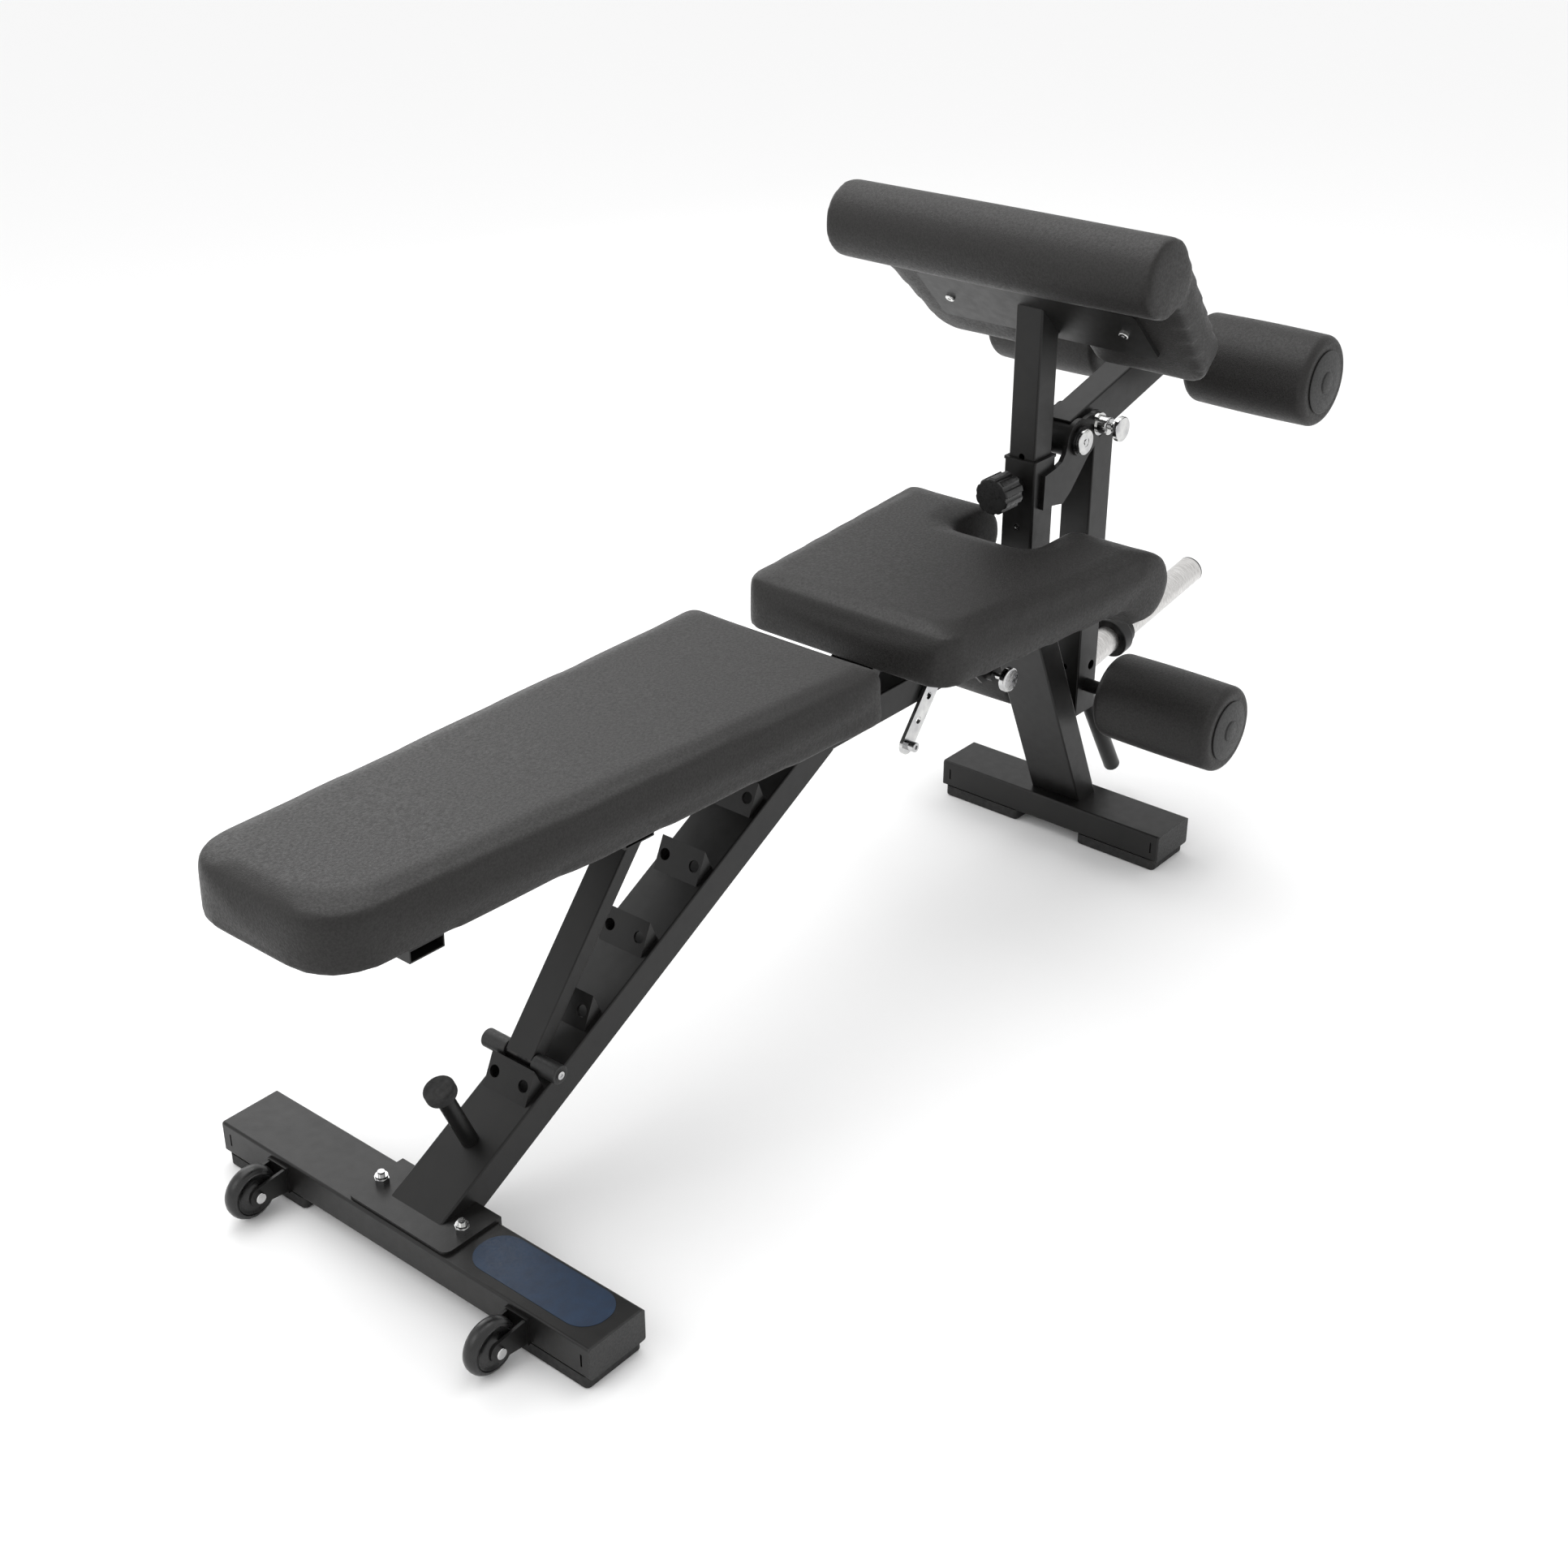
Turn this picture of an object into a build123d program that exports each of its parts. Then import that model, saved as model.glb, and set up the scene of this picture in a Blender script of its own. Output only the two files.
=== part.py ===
"""Adjustable sit-up bench with a curl pad on a post and a leg arm with four rollers.

Frame: +X runs from the head end to the leg-arm end, +Z is up, and Y = 0 is the bench's middle plane.
Side-view points are (x, z) measured from the inner face of the front bar, and at() and side() carry
them into the part's own frame, whose origin is on the floor under the middle of the whole bench.
"""
import math
import os
from build123d import *

os.makedirs("parts", exist_ok=True)

# ---- driving dimensions, millimetres and degrees ----
MID_X = 826.7                       # middle of the whole length, from the front bar's inner face
TUBE_W, TUBE_H, WALL = 100.0, 50.0, 3.0
FOOT_H = 20.0
BAR_TOP = FOOT_H + TUBE_H
FRONT_X, FRONT_HALF = -50.0, 360.0  # middle of the front bar, and half its length without caps
REAR_X, REAR_HALF = 1509.5, 229.2
CAP_T = 3.6
SADDLE_T = 5.0
BEAM_ANGLE = 28.0
BEAM_X, BEAM_Z = -56.5, 76.5        # a point on the inclined beam's top face
SEAT_BEAM_TOP, SEAT_BEAM_END = 508.0, 1385.0
CATCH_START, CATCH_PITCH, CATCH_COUNT = 190.0, 133.6, 5
PAD_TILT, PAD_T = 1.14, 86.0
PAD_X, PAD_Z = 710.5, 564.1         # a point on the backrest pad's lower face
BACK_HINGE = (740.0, 560.0)
STRUT_TOP, STRUT_FOOT = (423.0, 540.0), (152.4, 211.4)
SEAT_HINGE = (880.0, 540.0)
SEAT_BOTTOM = 566.5
STAY_TOP, STAY_END = (1072.0, 560.0), (946.0, 399.0)
SEAT_PIN = (1150.0, 452.0)
LEG_SLOPE = 0.4437                  # the rear leg's lean, sideways per unit of height
POST_X, POST_W, RECEIVER_W, RECEIVER_TOP = 1338.0, 50.0, 60.0, 752.0
KNOB_Z, POST_PITCH = 714.0, 45.0
BOARD = (1247.0, 1086.0)            # head end of the sloped curl board's lower face, at 45 degrees
BOARD_T, PANEL_T = 65.0, 10.5
ROLL, ROLL_R, ROLL_HALF = (1226.0, 1117.0), 62.5, 299.0
PIVOT, PIVOT_PIN = (1425.0, 765.0), (1475.0, 782.0)
UPPER_AXLE, LOWER_AXLE, AXLE_R = (1725.0, 847.0), (1516.0, 286.0), 12.0
HANG_X, HANG_W, HANG_D, HANG_FOOT = 1516.0, 58.0, 60.0, 237.0
ROLLER_R, ROLLER_IN, ROLLER_OUT, CAP_FACE = 77.0, 86.0, 314.0, 314.4
WEIGHT_BASE, WEIGHT_ANGLE, WEIGHT_R, WEIGHT_LEN = (1546.0, 315.0), 9.2, 25.0, 370.0
COLLAR_FACE = 124.0
HANDLE_BASE, HANDLE_ANGLE, HANDLE_R, HANDLE_LEN = (1546.0, 273.1), -59.3, 15.0, 252.0
WHEEL, WHEEL_Y, WHEEL_R, WHEEL_W = (-152.0, 42.0), 237.5, 40.0, 26.0
RUNNING = 0.05                      # radial clearance of every turning or sliding fit

TAN_BEAM = math.tan(math.radians(BEAM_ANGLE))
COS_BEAM = math.cos(math.radians(BEAM_ANGLE))
SIN_BEAM = math.sin(math.radians(BEAM_ANGLE))
SEAT_BEAM_LOW = SEAT_BEAM_TOP - TUBE_H
BEAM_DROP = TUBE_H / COS_BEAM       # the inclined beam's depth, measured upright


def at(x, y, z):
    """A point measured from the front bar's inner face, in the part's own frame."""
    return (x - MID_X, y, z)


def side(y):
    """The side-view plane at a given y: sketch x is length, sketch y is height, normal is -Y."""
    return Plane(origin=(-MID_X, y, 0), x_dir=(1, 0, 0), z_dir=(0, -1, 0))


def beam(s, h):
    """Side-view point at a distance s along the inclined beam's top face and a height h above it."""
    return (BEAM_X + s * COS_BEAM - h * SIN_BEAM, BEAM_Z + s * SIN_BEAM + h * COS_BEAM)


def beam_face(x, depth):
    """Side-view point on a line parallel to the inclined beam's top face, at an upright depth under it."""
    return (x, BEAM_Z + (x - BEAM_X) * TAN_BEAM - depth)


def rest(u, w):
    """Side-view point under or over the backrest: u towards the head end, w above the pad's lower face."""
    a = math.radians(PAD_TILT)
    return (PAD_X - u * math.cos(a) + w * math.sin(a), PAD_Z + u * math.sin(a) + w * math.cos(a))


def toward(start, angle, dist, rise=0.0):
    """Side-view point at a distance along a direction from start, and a rise to its left."""
    c, s = math.cos(math.radians(angle)), math.sin(math.radians(angle))
    return (start[0] + dist * c - rise * s, start[1] + dist * s + rise * c)


def along(start, angle, dist=0.0):
    """A plane square to a side-view direction, at a distance along it from start."""
    a = math.radians(angle)
    x, z = toward(start, angle, dist)
    return Plane(origin=at(x, 0, z), x_dir=(0, 1, 0), z_dir=(math.cos(a), 0, math.sin(a)))


def slab(outline, y_from, y_to, mode=Mode.ADD):
    """A flat-sided piece with a side-view outline, from y_from down to y_to."""
    with BuildSketch(side(y_from)) as profile:
        Polygon(*outline, align=None)
    extrude(profile.sketch, amount=y_from - y_to, mode=mode)


def rod(centre, radius, y_from, y_to, mode=Mode.ADD):
    """A round bar or bore across the bench, from y_from down to y_to."""
    with BuildSketch(side(y_from)) as profile:
        with Locations(centre):
            Circle(radius)
    extrude(profile.sketch, amount=y_from - y_to, mode=mode)


def both_sides(shape, *sizes, near, far, mode=Mode.ADD):
    """The same slab or rod on both sides of the middle plane, between near and far from it."""
    shape(*sizes, far, near, mode=mode)
    shape(*sizes, -near, -far, mode=mode)


def spindle(plane, radius, length, mode=Mode.ADD):
    """A round bar from a plane along its normal."""
    with BuildSketch(plane) as profile:
        Circle(radius)
    extrude(profile.sketch, amount=length, mode=mode)


def crossbar(mid, half, slot_x):
    """A cross tube lying on its feet, with the slot that each end cap's latch shows through."""
    with BuildSketch(side(half)) as profile:
        with Locations((mid, FOOT_H + TUBE_H / 2)):
            RectangleRounded(TUBE_W, TUBE_H, 4)
            RectangleRounded(TUBE_W - 2 * WALL, TUBE_H - 2 * WALL, 2, mode=Mode.SUBTRACT)
    extrude(profile.sketch, amount=2 * half)
    for y in (half - 12, 12 - half):
        with Locations(at(slot_x, y, FOOT_H + TUBE_H / 2)):
            Box(2 * WALL + 1, 3, 20, mode=Mode.SUBTRACT)


def tube_cap(end, width, height):
    """A plastic tube cap: a lip over the tube's end and a plug inside it."""
    with BuildSketch(end) as lip:
        RectangleRounded(width, height, 4)
    extrude(lip.sketch, amount=CAP_T)
    with BuildSketch(end) as plug:
        RectangleRounded(width - 2 * WALL - 0.6, height - 2 * WALL - 0.6, 1.8)
    extrude(plug.sketch, amount=-18)


def bar_feet(mid, y_in, y_out):
    """The two rubber feet under a cross tube."""
    with Locations(*(at(mid, s * (y_in + y_out) / 2, FOOT_H / 2) for s in (1, -1))):
        Box(TUBE_W, y_out - y_in, FOOT_H)


def rims(piece, radius):
    """The round edges of one radius on a piece."""
    return piece.edges().filter_by(GeomType.CIRCLE).filter_by(lambda e: abs(e.radius - radius) < 0.1)


def save(piece, name):
    """Label a finished piece and write its STEP file."""
    piece.part.label = name
    export_step(piece.part, f"parts/{name}.step")


# ---- front bar with its saddle plate and decal, and the frame's own bolts ----
with BuildPart() as front_crossbar:
    crossbar(FRONT_X, FRONT_HALF, FRONT_X - TUBE_W / 2)
    with Locations(at(-48, 80, 45), at(-48, -80, 45)):
        Cylinder(5.5, 60, mode=Mode.SUBTRACT)
save(front_crossbar, "front_crossbar")

with BuildPart() as saddle_plate:
    slab([(-95, BAR_TOP), (5, BAR_TOP), (5, BAR_TOP + SADDLE_T), (-95, BAR_TOP + SADDLE_T)], 98, -98)
    fillet(saddle_plate.edges().filter_by(Axis.Z).group_by(Axis.X)[0], 12)
    slab([(0, 30), (5, 30), (5, BAR_TOP), (0, BAR_TOP)], 98, -98)
    with Locations(at(-48, 80, BAR_TOP), at(-48, -80, BAR_TOP)):
        Cylinder(5.5, 20, mode=Mode.SUBTRACT)
save(saddle_plate, "saddle_plate")

with BuildPart() as frame_bolts:
    for y in (80, -80):
        base = Plane(origin=at(-48, y, 12), x_dir=(1, 0, 0), z_dir=(0, 0, 1))
        with BuildSketch(base) as head:
            RegularPolygon(10.5, 6)
        extrude(head.sketch, amount=FOOT_H - 12)
        spindle(base, 5, 82)
        with BuildSketch(base.offset(BAR_TOP + SADDLE_T - 12)) as nut:
            RegularPolygon(11, 6)
        extrude(nut.sketch, amount=9)
        spindle(base.offset(BAR_TOP + SADDLE_T - 3), 9, 4)
    spindle(along((POST_X - RECEIVER_W / 2 - 2, 640), 0), 5.5, 2)
    spindle(along((POST_X - RECEIVER_W / 2, 640), 0), 3, 3)
    spindle(along((POST_X - RECEIVER_W / 2 - 2, 640), 0), 2, 1, mode=Mode.SUBTRACT)
save(frame_bolts, "frame_bolts")

with BuildPart() as front_decal:
    with BuildSketch(Plane.XY.offset(BAR_TOP)):
        with Locations(at(-44, -226.5, 0)[:2]):
            RectangleRounded(76, 227, 36)
    extrude(amount=0.4)
save(front_decal, "front_decal")

# ---- transport wheels in their forks ----
with BuildPart() as wheel_brackets:
    for y in (WHEEL_Y, -WHEEL_Y):
        slab([(-105, 20), (-100, 20), (-100, 62), (-105, 62)], y + 20, y - 20)
        for inner in (y + 18.5, y - 14):
            slab([(-105, 22), (-105, 60), (-150, 56), (-154, 28)], inner, inner - 4.5)
            rod(WHEEL, 14, inner, inner - 4.5)
        rod(WHEEL, 5, y + 19, y - 19, mode=Mode.SUBTRACT)
save(wheel_brackets, "wheel_brackets")

with BuildPart() as wheel_axles:
    for y in (WHEEL_Y, -WHEEL_Y):
        rod(WHEEL, 5, y + 24, y - 24)
        rod(WHEEL, 8, y + 24.5, y + 18.5)
        rod(WHEEL, 8, y - 18.5, y - 24.5)
    fillet(rims(wheel_axles, 8).filter_by(lambda e: abs(abs(abs(e.center().Y) - WHEEL_Y) - 24.5) < 0.1), 1)
save(wheel_axles, "wheel_axles")

for name, y in (("wheel_far", WHEEL_Y), ("wheel_near", -WHEEL_Y)):
    with BuildPart() as wheel:
        rod(WHEEL, WHEEL_R, y + WHEEL_W / 2, y - WHEEL_W / 2)
        fillet(wheel.edges(), 11)
        rod(WHEEL, 5 + RUNNING, y + WHEEL_W, y - WHEEL_W, mode=Mode.SUBTRACT)
    save(wheel, name)

# ---- inclined beam with its catch blocks, and the rubber bumpers under backrest and seat ----
with BuildPart() as main_beam:
    slab([beam_face(BEAM_X - 1.5 / TAN_BEAM, 0), (5, BAR_TOP + SADDLE_T), beam_face(5, BEAM_DROP),
          (BEAM_X + (SEAT_BEAM_LOW + BEAM_DROP - BEAM_Z) / TAN_BEAM, SEAT_BEAM_LOW),
          (BEAM_X + (SEAT_BEAM_TOP - BEAM_Z) / TAN_BEAM, SEAT_BEAM_TOP)], TUBE_W / 2, -TUBE_W / 2)
    fillet(main_beam.edges().group_by(SortBy.LENGTH)[-1], 3)
    skin = WALL / COS_BEAM
    slab([beam_face(-120, skin), beam_face(900, skin), beam_face(900, BEAM_DROP - skin),
          beam_face(-120, BEAM_DROP - skin)], TUBE_W / 2 - WALL, WALL - TUBE_W / 2, mode=Mode.SUBTRACT)
save(main_beam, "main_beam")

with BuildPart() as catch_blocks:
    for k in range(CATCH_COUNT):
        s = CATCH_START + k * CATCH_PITCH
        slab([beam(s, 0), beam(s + 42, 32), beam(s + 39, 0)], 41, -41)
        slab([beam(s + 6.6, 0), beam(s + 45, 29.3), beam(s + 45, 0)], 38, -38, mode=Mode.SUBTRACT)
        for y in (28, -28):
            x, z = beam(s + 21, 16)
            face = Plane(origin=at(x, y, z), x_dir=(0, 1, 0),
                         z_dir=(-math.sin(math.radians(BEAM_ANGLE + 37.3)), 0,
                                math.cos(math.radians(BEAM_ANGLE + 37.3))))
            with Locations(face):
                Cylinder(9, 16, mode=Mode.SUBTRACT)
save(catch_blocks, "catch_blocks")

with BuildPart() as bumper_post:
    spindle(along((-2, 243), 22.6 - 90, 16), 12.5, 150)
    split(bisect_by=Plane(origin=at(BEAM_X, 0, BEAM_Z), z_dir=(-SIN_BEAM, 0, COS_BEAM)), keep=Keep.TOP)
save(bumper_post, "bumper_post")

with BuildPart() as bumpers:
    spindle(along((-2, 243), 22.6 - 90), 22.5, 16)
    fillet(bumpers.edges(), 3)
    with Locations(at(1180, 0, SEAT_BEAM_TOP + 7.8)):
        Box(40, 40, 15.6)
save(bumpers, "bumpers")

# ---- level seat beam, rear leg and rear bar ----
with BuildPart() as seat_beam:
    slab([(BEAM_X + (SEAT_BEAM_TOP - BEAM_Z) / TAN_BEAM, SEAT_BEAM_TOP), (SEAT_BEAM_END, SEAT_BEAM_TOP),
          (SEAT_BEAM_END, SEAT_BEAM_LOW),
          (BEAM_X + (SEAT_BEAM_LOW + BEAM_DROP - BEAM_Z) / TAN_BEAM, SEAT_BEAM_LOW)],
         TUBE_W / 2, -TUBE_W / 2)
    fillet(seat_beam.edges().filter_by(Axis.X), 3)
    with Locations(at(1000, 0, SEAT_BEAM_TOP - TUBE_H / 2)):
        Box(1000, TUBE_W - 2 * WALL, TUBE_H - 2 * WALL, mode=Mode.SUBTRACT)
save(seat_beam, "seat_beam")

with BuildPart() as rear_leg:
    low, high = BAR_TOP, SEAT_BEAM_LOW
    front, back = 1483.0, 1537.7
    lean = LEG_SLOPE * (high - low)
    slab([(front, low), (back, low), (back - lean, high), (front - lean, high)], TUBE_W / 2, -TUBE_W / 2)
    fillet(rear_leg.edges().group_by(SortBy.LENGTH)[-1], 3)
    skin = WALL * math.hypot(1, LEG_SLOPE)
    over = LEG_SLOPE * 60
    slab([(front + skin + over, low - 60), (back - skin + over, low - 60),
          (back - skin - lean - over, high + 60), (front + skin - lean - over, high + 60)],
         TUBE_W / 2 - WALL, WALL - TUBE_W / 2, mode=Mode.SUBTRACT)
save(rear_leg, "rear_leg")

with BuildPart() as rear_crossbar:
    crossbar(REAR_X, REAR_HALF, REAR_X - TUBE_W / 2)
save(rear_crossbar, "rear_crossbar")

# ---- rubber feet and plastic caps of both bars and of the seat beam ----
with BuildPart() as feet:
    bar_feet(FRONT_X, 191, 357)
    bar_feet(REAR_X, 65, 226)
    fillet(feet.edges().filter_by(Axis.Z), 8)
    fillet(feet.faces().filter_by(Axis.Z).group_by(Axis.Z)[0].edges(), 4)
save(feet, "feet")

with BuildPart() as end_caps:
    for mid, half in ((FRONT_X, FRONT_HALF), (REAR_X, REAR_HALF)):
        for sign in (1, -1):
            tube_cap(Plane(origin=at(mid, sign * half, FOOT_H + TUBE_H / 2), x_dir=(1, 0, 0),
                           z_dir=(0, sign, 0)), TUBE_W, TUBE_H)
    tube_cap(Plane(origin=at(SEAT_BEAM_END, 0, SEAT_BEAM_TOP - TUBE_H / 2), x_dir=(0, 1, 0),
                   z_dir=(1, 0, 0)), TUBE_W, TUBE_H)
save(end_caps, "end_caps")

# ---- hinge lugs and hinge bolts of the backrest and of the seat ----
with BuildPart() as hinge_lugs:
    hx, hz = BACK_HINGE
    foot = [beam_face(hx - 15, 0), beam_face(BEAM_X + (SEAT_BEAM_TOP - BEAM_Z) / TAN_BEAM, 0),
            (hx + 45, SEAT_BEAM_TOP), (hx + 14, hz + 5), (hx - 15, hz)]
    both_sides(slab, foot, near=22, far=29)
    both_sides(rod, BACK_HINGE, 15, near=22, far=29)
    both_sides(rod, BACK_HINGE, 8, near=20, far=31, mode=Mode.SUBTRACT)
    hx, hz = SEAT_HINGE
    foot = [(hx - 22, SEAT_BEAM_TOP), (hx + 22, SEAT_BEAM_TOP), (hx + 13, hz + 4), (hx - 13, hz + 4)]
    both_sides(slab, foot, near=27.5, far=33.5)
    both_sides(rod, SEAT_HINGE, 14, near=27.5, far=33.5)
    both_sides(rod, SEAT_HINGE, 8, near=26, far=35, mode=Mode.SUBTRACT)
save(hinge_lugs, "hinge_lugs")

with BuildPart() as hinge_bolts:
    rod(BACK_HINGE, 8, 60, -60)
    both_sides(rod, BACK_HINGE, 13, near=56.5, far=64)
    rod(SEAT_HINGE, 8, 38, -38)
    both_sides(rod, SEAT_HINGE, 12, near=33.5, far=40)
save(hinge_bolts, "hinge_bolts")

# ---- backrest: rails with their hinge ends, cross bars and pad ----
with BuildPart() as backrest_rails:
    both_sides(slab, [rest(20, -18), rest(850, -18), rest(850, -48), rest(20, -48)], near=31, far=56)
    both_sides(slab, [rest(15, -20.5), rest(846, -20.5), rest(846, -45.5), rest(15, -45.5)],
               near=33.5, far=53.5, mode=Mode.SUBTRACT)
    arm = [rest(20, -18), rest(20, -48), rest(-6, -48), rest(-41, -14.5), rest(-29.6, -4.7), rest(-18, -14)]
    both_sides(slab, arm, near=31, far=56)
    both_sides(rod, BACK_HINGE, 15, near=31, far=56)
    both_sides(rod, BACK_HINGE, 8 + RUNNING, near=30, far=57, mode=Mode.SUBTRACT)
    both_sides(rod, STRUT_TOP, 6, near=30, far=57, mode=Mode.SUBTRACT)
save(backrest_rails, "backrest_rails")

with BuildPart() as backrest_cross_bars:
    for u in (30, 430, 795.5):
        slab([rest(u, 0), rest(u + 55, 0), rest(u + 55, -18), rest(u, -18)], 139, -139)
        slab([rest(u + 2, -2), rest(u + 53, -2), rest(u + 53, -16), rest(u + 2, -16)], 140, -140,
             mode=Mode.SUBTRACT)
save(backrest_cross_bars, "backrest_cross_bars")

with BuildPart() as backrest_pad:
    tilt = math.radians(PAD_TILT)
    underside = Plane(origin=at(PAD_X, 0, PAD_Z), x_dir=(-math.cos(tilt), 0, math.sin(tilt)),
                      z_dir=(math.sin(tilt), 0, math.cos(tilt)))
    with BuildSketch(underside) as plan:
        Polygon((-9.5, -188.5), (-9.5, 188.5), (972.5, 143.5), (972.5, -143.5), align=None)
        fillet(plan.vertices().group_by(Axis.X)[0], 22)
        fillet(plan.vertices().group_by(Axis.X)[-1], 82)
    extrude(amount=PAD_T)
    fillet(backrest_pad.faces().filter_by(GeomType.PLANE).sort_by(Axis.Z)[-1].edges(), 13)
    fillet(backrest_pad.faces().filter_by(GeomType.PLANE).sort_by(Axis.Z)[0].edges(), 6)
save(backrest_pad, "backrest_pad")

# ---- strut that props the backrest on the catch blocks ----
with BuildPart() as strut_bolt:
    rod(STRUT_TOP, 6, 58, -58)
    both_sides(rod, STRUT_TOP, 10, near=56, far=62)
save(strut_bolt, "strut_bolt")

STRUT_ANGLE = math.degrees(math.atan2(STRUT_FOOT[1] - STRUT_TOP[1], STRUT_FOOT[0] - STRUT_TOP[0]))
STRUT_LEN = math.dist(STRUT_TOP, STRUT_FOOT)
with BuildPart() as strut_tube:
    slab([toward(STRUT_TOP, STRUT_ANGLE, d, h) for d, h in
          ((0, 12.5), (STRUT_LEN, 12.5), (STRUT_LEN, -12.5), (0, -12.5))], 25, -25)
    fillet(strut_tube.edges().group_by(SortBy.LENGTH)[-1], 2)
    slab([toward(STRUT_TOP, STRUT_ANGLE, d, h) for d, h in
          ((-5, 10), (STRUT_LEN + 5, 10), (STRUT_LEN + 5, -10), (-5, -10))], 22.5, -22.5, mode=Mode.SUBTRACT)
    rod(STRUT_TOP, 12.5, 25, -25)
    rod(STRUT_TOP, 6 + RUNNING, 26, -26, mode=Mode.SUBTRACT)
    rod(STRUT_FOOT, 10, 26, -26, mode=Mode.SUBTRACT)
save(strut_tube, "strut_tube")

with BuildPart() as strut_pin:
    rod(STRUT_FOOT, 10, 71, -71)
save(strut_pin, "strut_pin")

with BuildPart() as strut_sleeves:
    both_sides(rod, STRUT_FOOT, 14, near=26, far=71)
    fillet(strut_sleeves.edges(), 1.5)
    both_sides(rod, STRUT_FOOT, 10, near=25, far=72, mode=Mode.SUBTRACT)
save(strut_sleeves, "strut_sleeves")

with BuildPart() as strut_end_bolts:
    both_sides(rod, STRUT_FOOT, 6, near=71, far=73)
    both_sides(rod, STRUT_FOOT, 2.5, near=72, far=74, mode=Mode.SUBTRACT)
save(strut_end_bolts, "strut_end_bolts")

# ---- seat: frame, cross plates with the lock tab, pad, stay bar and lock pin ----
with BuildPart() as seat_frame:
    slab([(SEAT_HINGE[0], 524), (1210, 524), (1210, 560), (SEAT_HINGE[0], 560)], 25, -25)
    fillet(seat_frame.edges().filter_by(Axis.X), 2)
    slab([(SEAT_HINGE[0] - 5, 527), (1206, 527), (1206, 557), (SEAT_HINGE[0] - 5, 557)], 22, -22,
         mode=Mode.SUBTRACT)
    rod(SEAT_HINGE, 14, 26.5, -26.5)
    rod(SEAT_HINGE, 8 + RUNNING, 28, -28, mode=Mode.SUBTRACT)
save(seat_frame, "seat_frame")

with BuildPart() as seat_cross_plates:
    for x in (915, 1072, 1160):
        slab([(x - 22, 560), (x + 22, 560), (x + 22, SEAT_BOTTOM), (x - 22, SEAT_BOTTOM)], 175, -175)
    x, z = SEAT_PIN
    slab([(x - 14, z), (x + 14, z), (x + 14, 560), (x - 14, 560)], -52, -57)
    rod(SEAT_PIN, 14, -52, -57)
    rod(SEAT_PIN, 6.5, -51, -58, mode=Mode.SUBTRACT)
save(seat_cross_plates, "seat_cross_plates")

with BuildPart() as seat_pad:
    with BuildSketch(side(262)) as profile:
        Polygon((838, SEAT_BOTTOM), (838, 600), (848, 653), (1329, 649.5), (1329, 529), (1283, 529),
                (1283, SEAT_BOTTOM), align=None)
        with Locations((1329, 589.25)):
            Circle(60.25)
    extrude(profile.sketch, amount=524)
    with BuildSketch(Plane.XY.offset(500)) as plan:
        Polygon((838 - MID_X, -198.5), (838 - MID_X, 198.5), (1392 - MID_X, 257), (1392 - MID_X, -257),
                align=None)
        fillet(plan.vertices().group_by(Axis.X)[0], 48)
        fillet(plan.vertices().group_by(Axis.X)[-1], 12)
    extrude(plan.sketch, amount=200, mode=Mode.INTERSECT)
    with BuildSketch(Plane.XY.offset(500)) as notch:
        with Locations((1228 + 100 - MID_X, 0)):
            RectangleRounded(200, 158, 25)
    extrude(notch.sketch, amount=200, mode=Mode.SUBTRACT)
    fillet(seat_pad.faces().filter_by(GeomType.PLANE).sort_by(SortBy.AREA)[-1].outer_wire().edges()
           .filter_by(lambda e: e.center().X < 1300 - MID_X), 12)
save(seat_pad, "seat_pad")

STAY_ANGLE = math.degrees(math.atan2(STAY_TOP[1] - STAY_END[1], STAY_TOP[0] - STAY_END[0]))
STAY_LEN = math.dist(STAY_TOP, STAY_END)
with BuildPart() as seat_stay:
    slab([toward(STAY_END, STAY_ANGLE, d, h) for d, h in
          ((0, -16), (STAY_LEN + 20, -16), (STAY_LEN + 20, 16), (0, 16))], -52, -58)
    rod(STAY_END, 16, -52, -58)
    for d in (42, 84, 126):
        rod(toward(STAY_END, STAY_ANGLE, d), 6, -51, -59, mode=Mode.SUBTRACT)
    split(bisect_by=Plane.XY.offset(560), keep=Keep.BOTTOM)
    rod(STAY_END, 8, -58, -74)
    fillet(rims(seat_stay, 8).sort_by(Axis.Y)[0], 1)
    rod(STAY_END, 3.5, -70, -75, mode=Mode.SUBTRACT)
save(seat_stay, "seat_stay")

with BuildPart() as seat_pin_bracket:
    x, z = SEAT_PIN
    slab([(x - 38, 462), (x - 28, 462), (x - 28, 502), (x - 38, 502)], -50, -59)
    slab([(x - 38, 462), (x - 14, z - 14), (x + 14, z - 14), (x + 22, z), (x + 14, 502), (x - 38, 502)],
         -59, -64)
    rod(SEAT_PIN, 11, -64, -78)
    rod(SEAT_PIN, 5 + RUNNING, -58, -80, mode=Mode.SUBTRACT)
save(seat_pin_bracket, "seat_pin_bracket")

with BuildPart() as seat_pin_knob:
    rod(SEAT_PIN, 5, -57.5, -100)
    spindle(Plane(origin=at(SEAT_PIN[0], -98, SEAT_PIN[1]), x_dir=(1, 0, 0), z_dir=(0, -1, 0)), 20.5, 12)
    fillet(rims(seat_pin_knob, 20.5), 3)
save(seat_pin_knob, "seat_pin_knob")

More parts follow.
